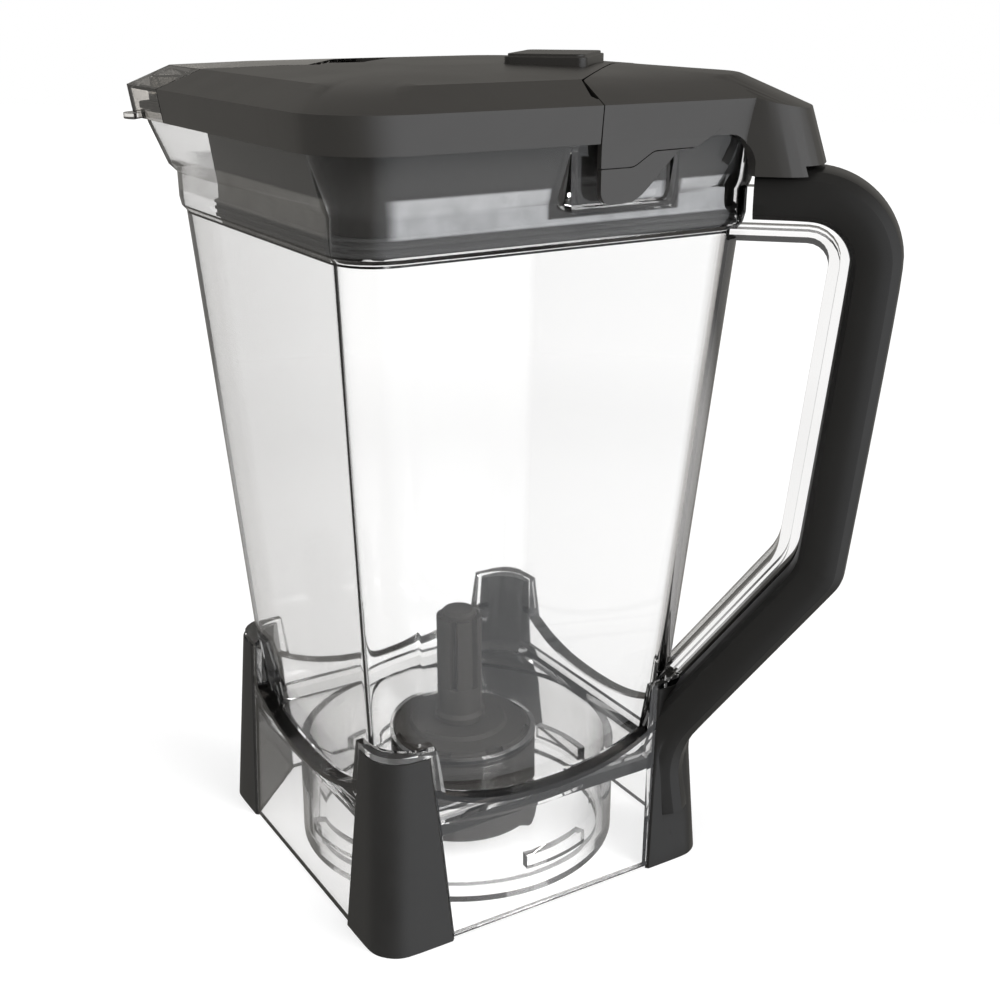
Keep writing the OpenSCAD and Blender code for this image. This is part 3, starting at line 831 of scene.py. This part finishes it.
@dataclass
class Workshop:
    """Makes the pieces, gives them their finish and says what body they ride on.

    Attributes:
        merge: The distance within which a solid's loose corners are one.
        plane_angle: The angle in degrees under which two facets lie in one plane.
        pair_angle: The angle in degrees under which two triangles may become one face.
        pair_skew: The angle in degrees by which such a face may differ from a rectangle.
    """

    merge: float = 0.002 * MM
    plane_angle: float = 0.6
    pair_angle: float = 12.0
    pair_skew: float = 50.0

    def __post_init__(self) -> None:
        """Builds every finish once."""
        self.materials = {slot: finish.make() for slot, finish in FINISHES.items()}
        self.made: list[str] = []

    def refine(self, node: str, body: Body, slot: Slot, edges: Edges) -> bpy.types.Object:
        """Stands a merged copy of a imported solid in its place, with its edges finished.

        Args:
            node: The node's name.
            body: The body that it rides on.
            slot: The material slot that it takes its finish from.
            edges: How its edges are finished.

        Returns:
            The piece's object.
        """
        piece = add_object(node + "_shell", self._merged(node, edges))
        piece.data.materials.append(self.materials[slot])
        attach(piece, body.value)
        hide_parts(node)
        self._round(piece, edges)
        self.made.append(piece.name)
        return piece

    def _merged(self, node: str, edges: Edges) -> bmesh.types.BMesh:
        """Copies a solid's loose triangles as one connected mesh.

        Args:
            node: The node's name.
            edges: How its edges will be finished.

        Returns:
            The mesh.
        """
        mesh = bmesh.new()
        mesh.from_mesh(frame["nodes"][node].data)
        bmesh.ops.remove_doubles(mesh, verts=mesh.verts, dist=self.merge)
        if edges.curve_steps > 0:
            self._keep_corners(mesh, edges.sharp)
        else:
            bmesh.ops.dissolve_limit(
                mesh, angle_limit=math.radians(self.plane_angle), use_dissolve_boundaries=False,
                verts=mesh.verts, edges=mesh.edges, delimit=set())
        return mesh

    def _keep_corners(self, mesh: bmesh.types.BMesh, sharp: float) -> None:
        """Pairs a mesh's triangles and creases what a subdivision must leave sharp.

        Args:
            mesh: The mesh, which is changed.
            sharp: The angle in degrees over which an edge is kept.
        """
        bmesh.ops.join_triangles(
            mesh, faces=mesh.faces, angle_face_threshold=math.radians(self.pair_angle),
            angle_shape_threshold=math.radians(self.pair_skew))
        crease = mesh.edges.layers.float.new("crease_edge")
        for edge in mesh.edges:
            if len(edge.link_faces) != 2 or edge.calc_face_angle(math.pi) > math.radians(sharp):
                edge[crease] = 1.0

    @staticmethod
    def _round(piece: bpy.types.Object, edges: Edges) -> None:
        """Shades a piece smooth, divides the facets of its curves and rounds its edges.

        Args:
            piece: The piece.
            edges: How its edges are finished.
        """
        piece.data.shade_smooth()
        piece.data.set_sharp_from_angle(angle=math.radians(edges.crease))
        if edges.curve_steps > 0:
            curves = piece.modifiers.new("curves", "SUBSURF")
            curves.levels = edges.curve_steps
            curves.render_levels = edges.curve_steps
        if edges.width > 0:
            rounding = piece.modifiers.new("rounding", "BEVEL")
            rounding.width = edges.width
            rounding.segments = edges.steps
            rounding.limit_method = "ANGLE"
            rounding.angle_limit = math.radians(edges.sharp)
            rounding.use_clamp_overlap = True
        if edges.flatness > 0:
            flatten = piece.modifiers.new("flat_faces", "WEIGHTED_NORMAL")
            flatten.weight = edges.flatness
            flatten.keep_sharp = True


@dataclass
class Jar:
    """The clear moulding with its grip, its feet and its hub."""

    shop: Workshop
    moulding: Edges = Edges(0.35 * MM, flatness=100)
    grip: Edges = Edges(0.9 * MM, sharp=28.0, flatness=0, curve_steps=2)
    foot: Edges = Edges(0.6 * MM, curve_steps=1)
    housing: Edges = Edges(0.25 * MM)
    cup: Edges = Edges(0.3 * MM)
    screw: Edges = Edges(0.15 * MM)
    bush: Edges = Edges(0.2 * MM)
    seal: Edges = Edges(0.0)

    def build(self) -> None:
        """Builds the jar's pieces."""
        moulding = self.shop.refine("jar_body", Body.JAR, Slot.CLEAR, self.moulding)
        moulding.visible_shadow = False
        self.shop.refine("handle_grip", Body.JAR, Slot.GRIP, self.grip)
        for foot in ("spout_foot", "front_foot", "back_foot"):
            self.shop.refine(foot, Body.JAR, Slot.FOOT, self.foot)
        self._hub()

    def _hub(self) -> None:
        """Builds the hub, with what holds and seals it."""
        self.shop.refine("hub_housing", Body.JAR, Slot.HUB, self.housing)
        self.shop.refine("hub_cup", Body.JAR, Slot.HUB, self.cup)
        self.shop.refine("hub_gasket", Body.JAR, Slot.SEAL, self.seal)
        self.shop.refine("hub_screws", Body.JAR, Slot.STEEL, self.screw)
        for bush in ("upper_bushing", "lower_bushing"):
            self.shop.refine(bush, Body.JAR, Slot.BRONZE, self.bush)
        self.shop.refine("shaft_seal", Body.JAR, Slot.SEAL, self.seal)


@dataclass
class Drive:
    """What turns: the spindle, its shaft and the coupling."""

    shop: Workshop
    spindle: Edges = Edges(0.25 * MM, crease=24.0)
    coupling: Edges = Edges(0.3 * MM)
    turned: Edges = Edges(0.1 * MM)

    def build(self) -> None:
        """Builds the drive's pieces."""
        self.shop.refine("spindle", Body.DRIVE, Slot.HUB, self.spindle)
        self.shop.refine("drive_coupling", Body.DRIVE, Slot.HUB, self.coupling)
        for part in ("drive_shaft", "thrust_washer", "retaining_clip"):
            self.shop.refine(part, Body.DRIVE, Slot.STEEL, self.turned)


@dataclass
class Lid:
    """The lid with its flap, its lever and its button."""

    shop: Workshop
    cover: Edges = Edges(1.1 * MM, curve_steps=2)
    lever: Edges = Edges(0.8 * MM, sharp=34.0, curve_steps=2)
    button: Edges = Edges(0.7 * MM)
    moulding: Edges = Edges(0.4 * MM)
    gasket: Edges = Edges(0.2 * MM)
    pin: Edges = Edges(0.1 * MM)
    spring: Edges = Edges(0.0)

    def build(self) -> None:
        """Builds the lid's pieces."""
        self._shell()
        self._fittings()
        self._flap()
        self.shop.refine("lever_cover", Body.LEVER, Slot.LID, self.lever)
        self.shop.refine("latch_frame", Body.LEVER, Slot.LID, self.moulding)
        self.shop.refine("release_button", Body.BUTTON, Slot.LID, self.button)

    def _shell(self) -> None:
        """Builds the cover, the plug and its liner, and the gasket."""
        self.shop.refine("lid_cover", Body.LID, Slot.LID, self.cover)
        plug = self.shop.refine("lid_plug", Body.LID, Slot.LID, self.moulding)
        # The plug takes the painted-shade copy of the lid plastic.
        plug.data.materials[0] = SHADED_LID_COPY.make()
        self.shop.refine("lid_liner", Body.LID, Slot.LID, self.moulding)
        self.shop.refine("lid_gasket", Body.LID, Slot.SEAL, self.gasket)

    def _fittings(self) -> None:
        """Builds the hinge pins and the button's spring."""
        self.shop.refine("flap_pin", Body.LID, Slot.STEEL, self.pin)
        self.shop.refine("lever_pins", Body.LID, Slot.STEEL, self.pin)
        self._shorten(self.shop.refine("button_spring", Body.LID, Slot.STEEL, self.spring))

    def _flap(self) -> None:
        """Builds the pouring flap and its seal."""
        self.shop.refine("spout_flap", Body.FLAP, Slot.FLAP, self.moulding)
        self.shop.refine("flap_seal", Body.FLAP, Slot.SEAL, self.gasket)

    @staticmethod
    def _shorten(spring: bpy.types.Object) -> None:
        """Works out what share of the spring's length is left with the button down, which is not used, and
        gives the spring its own mesh; the spring does not shorten.

        Args:
            spring: The spring.
        """
        joints = {joint["name"]: joint for joint in frame["record"]["behaviour"]["joints"]}
        travel = max(joints["button_press"]["range_m"])
        low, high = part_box("button_spring")
        length = high.z - low.z
        (length - travel) / length
        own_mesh(spring)


@dataclass(frozen=True)
class Panel:
    """A square soft light that faces the jar.

    Attributes:
        place: Its centre.
        side: The length of its side.
        power: Its power in watts.
    """

    name: str
    place: Point
    side: float
    power: float

    def hang(self, aim: Point) -> None:
        """Adds the light.

        Args:
            aim: The point that it faces.
        """
        data = bpy.data.lights.new(self.name, "AREA")
        data.size = self.side
        data.energy = self.power
        light = bpy.data.objects.new(self.name, data)
        light.location = self.place
        light.visible_glossy = False
        light.rotation_euler = (Vector(aim) - Vector(self.place)).to_track_quat("-Z", "Y").to_euler()
        bpy.context.scene.collection.objects.link(light)


@dataclass
class Studio:
    """The floor, the lights, the white surroundings and the camera.

    Attributes:
        camera_azimuth: How far the camera is turned from looking along +Y, in degrees.
        camera_fall: How far it looks down, in degrees.
        lens: Its focal length in millimetres.
        sensor: The width of its sensor in millimetres.
        near_clip: The nearest distance that it sees.
        bounces: How many surfaces light may cross or leave.
        ambient: How strongly the surroundings light what is dull.
        inner_loss: How much of the light reflected inside clear plastic is left out.
        aim: The point that the panels face.
        floor_side: The length of the floor's side.
        floor_glow: The strength of the floor's own white.
        paper: The colour of the floor where it takes the shadow.
        paper_reach: How far the shadow's part of the floor reaches.
        paper_fade: How late it fades out.
        paper_share: How much of it shows.
        tent_detail: How often the tent's faces are divided.
        bright_way: The direction of the tent's bright side, along X and Y.
        bright_gain: How sharply its bright and dim sides part.
        bright_start: Where the bright side begins.
    """

    camera_place: Point = (0.124405, -0.445662, 0.288843)
    camera_azimuth: float = 13.723
    camera_fall: float = 19.649
    lens: float = 51.70
    sensor: float = 36.0
    near_clip: float = 0.01
    bounces: int = 12
    ambient: float = 0.45
    inner_loss: float = 0.9
    aim: Point = (0.0, 0.0, 0.13)
    panels: Sequence[Panel] = (
        Panel("key_panel", (1.3, -0.5, 0.9), 0.9, 22.0),
        Panel("fill_panel", (-1.1, -0.9, 0.9), 0.9, 4.0),
        Panel("top_panel", (0.1, -0.25, 1.5), 1.2, 9.0),
    )
    floor_side: float = 6.0
    floor_glow: float = 1.12
    white: Colour = (1.0, 1.0, 1.0)
    paper: Colour = (0.93, 0.93, 0.93)
    paper_reach: float = 1 / 1.4
    paper_fade: float = 3.0
    paper_share: float = 0.4
    tent_radius: float = 2.6
    tent_detail: int = 3
    tent_dim: Colour = (0.3, 0.29, 0.27)
    tent_bright: Colour = (1.4, 1.43, 1.48)
    bright_way: tuple[float, float] = (0.9, -0.44)
    bright_gain: float = 3.0
    bright_start: float = 1.6

    def build(self) -> None:
        """Builds the studio."""
        scene = bpy.context.scene
        scene.view_settings.view_transform = "Standard"
        scene.cycles.max_bounces = self.bounces
        scene.cycles.transmission_bounces = self.bounces
        scene.cycles.transparent_max_bounces = self.bounces
        self._camera()
        self._surroundings()
        self._floor()
        self._tent()
        for panel in self.panels:
            panel.hang(self.aim)

    def _camera(self) -> None:
        """Places the camera where the photograph was taken from."""
        data = bpy.data.cameras.new("camera")
        data.lens = self.lens
        data.sensor_width = self.sensor
        data.clip_start = self.near_clip
        camera = bpy.data.objects.new("camera", data)
        camera.location = self.camera_place
        tilt = math.radians(90.0 - self.camera_fall)
        camera.rotation_euler = (tilt, 0.0, math.radians(self.camera_azimuth))
        bpy.context.scene.collection.objects.link(camera)
        bpy.context.scene.camera = camera

    def _surroundings(self) -> None:
        """Surrounds the jar with white, which the eye, gloss and clear plastic see at full strength."""
        world = bpy.data.worlds.new("studio_world")
        bpy.context.scene.world = world
        g = Graph(world)
        world.cycles.sampling_method = "NONE"
        rays = ("Is Camera Ray", "Is Glossy Ray", "Is Transmission Ray")
        seen = sum(g.add("ShaderNodeLightPath", output=ray) for ray in rays).clamped()
        strength = (seen * (1.0 - self.ambient) + self.ambient) * self._unreflected(g)
        light = g.add("ShaderNodeBackground", {}, {"Color": (*self.white, 1.0), "Strength": strength})
        g.add("ShaderNodeOutputWorld", {}, {"Surface": light})

    def _unreflected(self, g: Graph) -> Value:
        """1, or less for light that has been reflected inside clear plastic.

        Args:
            g: The graph that uses it.

        Returns:
            The factor.
        """
        reflected = g.add("ShaderNodeLightPath", output="Glossy Depth").clamped()
        inside = g.add("ShaderNodeLightPath", output="Is Transmission Ray")
        return 1.0 - reflected * inside * self.inner_loss

    def _floor(self) -> None:
        """Lays a pale floor that keeps the jar's shadow and turns white away from it."""
        mesh = bmesh.new()
        bmesh.ops.create_grid(mesh, x_segments=2, y_segments=2, size=self.floor_side / 2)
        floor = add_object("floor", mesh)
        g = Graph.of_material("pale_floor")
        inward = g.add("ShaderNodeMapping", {}, {"Vector": g.place(), "Scale": (1 / self.paper_reach,) * 3})
        spread = g.add("ShaderNodeTexGradient", {"gradient_type": "SPHERICAL"}, {"Vector": inward})
        near = (spread * self.paper_fade).clamped() * self.paper_share
        paper = g.add("ShaderNodeBsdfDiffuse", {}, {"Color": (*self.paper, 1.0)})
        glow = g.glow(self.white, self._unreflected(g) * self.floor_glow)
        floor.data.materials.append(g.finish(g.add("ShaderNodeMixShader", {}, {0: near, 1: glow, 2: paper})))
        floor.visible_glossy = False

    def _tent(self) -> None:
        """Hangs a tent that only gloss sees: dim all round, with its bright side on the right."""
        mesh = bmesh.new()
        bmesh.ops.create_icosphere(mesh, subdivisions=self.tent_detail, radius=self.tent_radius)
        tent = add_object("tent", mesh)
        for rays in ("camera", "diffuse", "transmission", "volume_scatter", "shadow"):
            setattr(tent, "visible_" + rays, False)
        g = Graph.of_material("tent_cloth")
        east, north, _ = g.axes()
        toward = (east * self.bright_way[0] + north * self.bright_way[1]) / self.tent_radius
        bright = (toward * self.bright_gain - self.bright_start).clamped()
        ends = {1: g.glow(self.tent_dim, 1.0), 2: g.glow(self.tent_bright, 1.0)}
        cloth = g.finish(g.add("ShaderNodeMixShader", {}, {0: bright, **ends}))
        cloth.cycles.emission_sampling = "NONE"
        tent.data.materials.append(cloth)


def main() -> None:
    """Builds the sub-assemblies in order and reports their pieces."""
    logging.basicConfig(level=logging.INFO, format="%(message)s")
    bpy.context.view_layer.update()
    Studio().build()
    shop = Workshop()
    for assembly in (Jar(shop), Drive(shop), Lid(shop)):
        before = len(shop.made)
        assembly.build()
        for name in shop.made[before:]:
            log.info("%s: %s", type(assembly).__name__, name)


if __name__ == "__main__":
    main()
